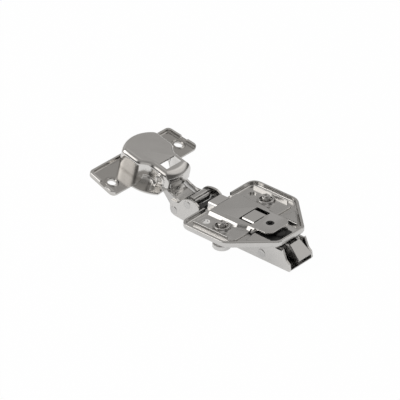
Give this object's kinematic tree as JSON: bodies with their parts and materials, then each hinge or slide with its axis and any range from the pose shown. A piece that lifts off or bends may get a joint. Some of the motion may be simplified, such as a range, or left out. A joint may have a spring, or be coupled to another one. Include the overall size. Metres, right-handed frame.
{
  "type": "concealed cup hinge",
  "caption": "Concealed cup hinge opened to its stop, with a bent arm on two links, a damper, a flanged cup and a wing mounting plate with fixing screws.",
  "frame": {"origin": "midway between the two fixing screws, on the face of the mounting plate that seats against the cabinet side", "axes": "+Z points out of the seating face into the cabinet side; +X runs from the cup towards the rear end of the arm; +Y is across the arm, and the hinge turns about it"},
  "size_m": [0.1146, 0.061, 0.0302],
  "materials": {
    "plate_steel": "satin nickel-plated steel sheet",
    "channel_steel": "zinc-plated steel sheet",
    "arm_steel": "satin nickel-plated steel sheet",
    "cup_steel": "bright nickel-plated deep-drawn steel",
    "pin_steel": "drawn steel wire",
    "link_steel": "nickel-plated steel strip",
    "rivet_steel": "bright steel",
    "spring_steel": "spring wire",
    "lever_zinc": "nickel-plated die-cast zinc",
    "screw_steel": "bright nickel-plated steel",
    "black_plastic": "black acetal",
    "damper_plastic": "dark grey acetal"
  },
  "bodies": {
    "plate": {"base_plate": "plate_steel"},
    "tray": {"wing_plate": "plate_steel", "guide_block": "black_plastic"},
    "height_cam": {"height_cam": "black_plastic"},
    "screw_near": {"fixing_screw_near": "screw_steel"},
    "screw_far": {"fixing_screw_far": "screw_steel"},
    "carrier": {"inner_channel": "channel_steel", "rear_rivet": "rivet_steel", "lever_pin": "pin_steel", "lever_spring": "spring_steel"},
    "depth_cam": {"depth_cam": "screw_steel"},
    "arm": {"hinge_arm": "arm_steel", "upper_rivet": "rivet_steel", "front_rivet": "rivet_steel", "closing_spring": "spring_steel", "damper_housing": "damper_plastic", "damper_cylinder": "damper_plastic"},
    "overlay_screw": {"overlay_screw": "screw_steel"},
    "lever": {"release_lever": "lever_zinc"},
    "outer_link": {"outer_link": "link_steel"},
    "cup": {"hinge_cup": "cup_steel", "cup_axle": "pin_steel"},
    "inner_link": {"inner_link": "link_steel"},
    "plunger": {"damper_plunger": "damper_plastic"}
  },
  "joints": [
    {"name": "height_slide", "type": "slide", "parent": "plate", "child": "tray", "axis": [0, 1, 0], "range_m": [-0.0015, 0.0015]},
    {"name": "height_turn", "type": "hinge", "parent": "plate", "child": "height_cam", "pos_m": [0.0165, 0, 0], "axis": [0, 0, 1], "range_deg": [-57, 57]},
    {"name": "screw_near_turn", "type": "hinge", "parent": "plate", "child": "screw_near", "pos_m": [0, -0.016, 0], "axis": [0, 0, 1], "continuous": true},
    {"name": "screw_far_turn", "type": "hinge", "parent": "plate", "child": "screw_far", "pos_m": [0, 0.016, 0], "axis": [0, 0, 1], "continuous": true},
    {"name": "depth_slide", "type": "slide", "parent": "tray", "child": "carrier", "axis": [1, 0, 0], "range_m": [-0.0013, 0.0013]},
    {"name": "depth_turn", "type": "hinge", "parent": "carrier", "child": "depth_cam", "pos_m": [-0.0015, 0, 0], "axis": [0, 0, 1], "range_deg": [-55, 55]},
    {"name": "arm_tilt", "type": "hinge", "parent": "carrier", "child": "arm", "pos_m": [0.0185, 0, -0.012], "axis": [0, 1, 0], "range_deg": [-1.5, 1.5]},
    {"name": "overlay_turn", "type": "hinge", "parent": "arm", "child": "overlay_screw", "pos_m": [-0.01, 0, 0], "axis": [0, 0, 1], "range_deg": [-136, 136]},
    {"name": "lever_press", "type": "hinge", "parent": "carrier", "child": "lever", "pos_m": [0.0266, 0, -0.0084], "axis": [0, 1, 0], "range_deg": [0, 14], "stiffness_Nm_per_rad": 0.02},
    {"name": "outer_link_turn", "type": "hinge", "parent": "arm", "child": "outer_link", "pos_m": [-0.0378, 0, -0.011], "axis": [0, 1, 0], "range_deg": [0, 13.2]},
    {"name": "cup_fold", "type": "hinge", "parent": "outer_link", "child": "cup", "pos_m": [-0.04579, 0, -0.00119], "axis": [0, 1, 0], "range_deg": [-117, 0]},
    {"name": "inner_link_turn", "type": "hinge", "parent": "cup", "child": "inner_link", "pos_m": [-0.04677, 0, 0.00276], "axis": [0, 1, 0], "range_deg": [0, 92.4]},
    {"name": "damper_press", "type": "slide", "parent": "arm", "child": "plunger", "axis": [1, 0, 0], "range_m": [0, 0.004], "stiffness_N_per_m": 60}
  ],
  "couplings": [
    {"joint": "height_turn", "follows": "height_slide", "rad_per_m": 656.74},
    {"joint": "depth_turn", "follows": "depth_slide", "rad_per_m": 729.56},
    {"joint": "overlay_turn", "follows": "arm_tilt", "ratio": 90},
    {"joint": "outer_link_turn", "follows": "cup_fold", "ratio": -0.11137},
    {"joint": "inner_link_turn", "follows": "cup_fold", "ratio": -0.78678}
  ]
}
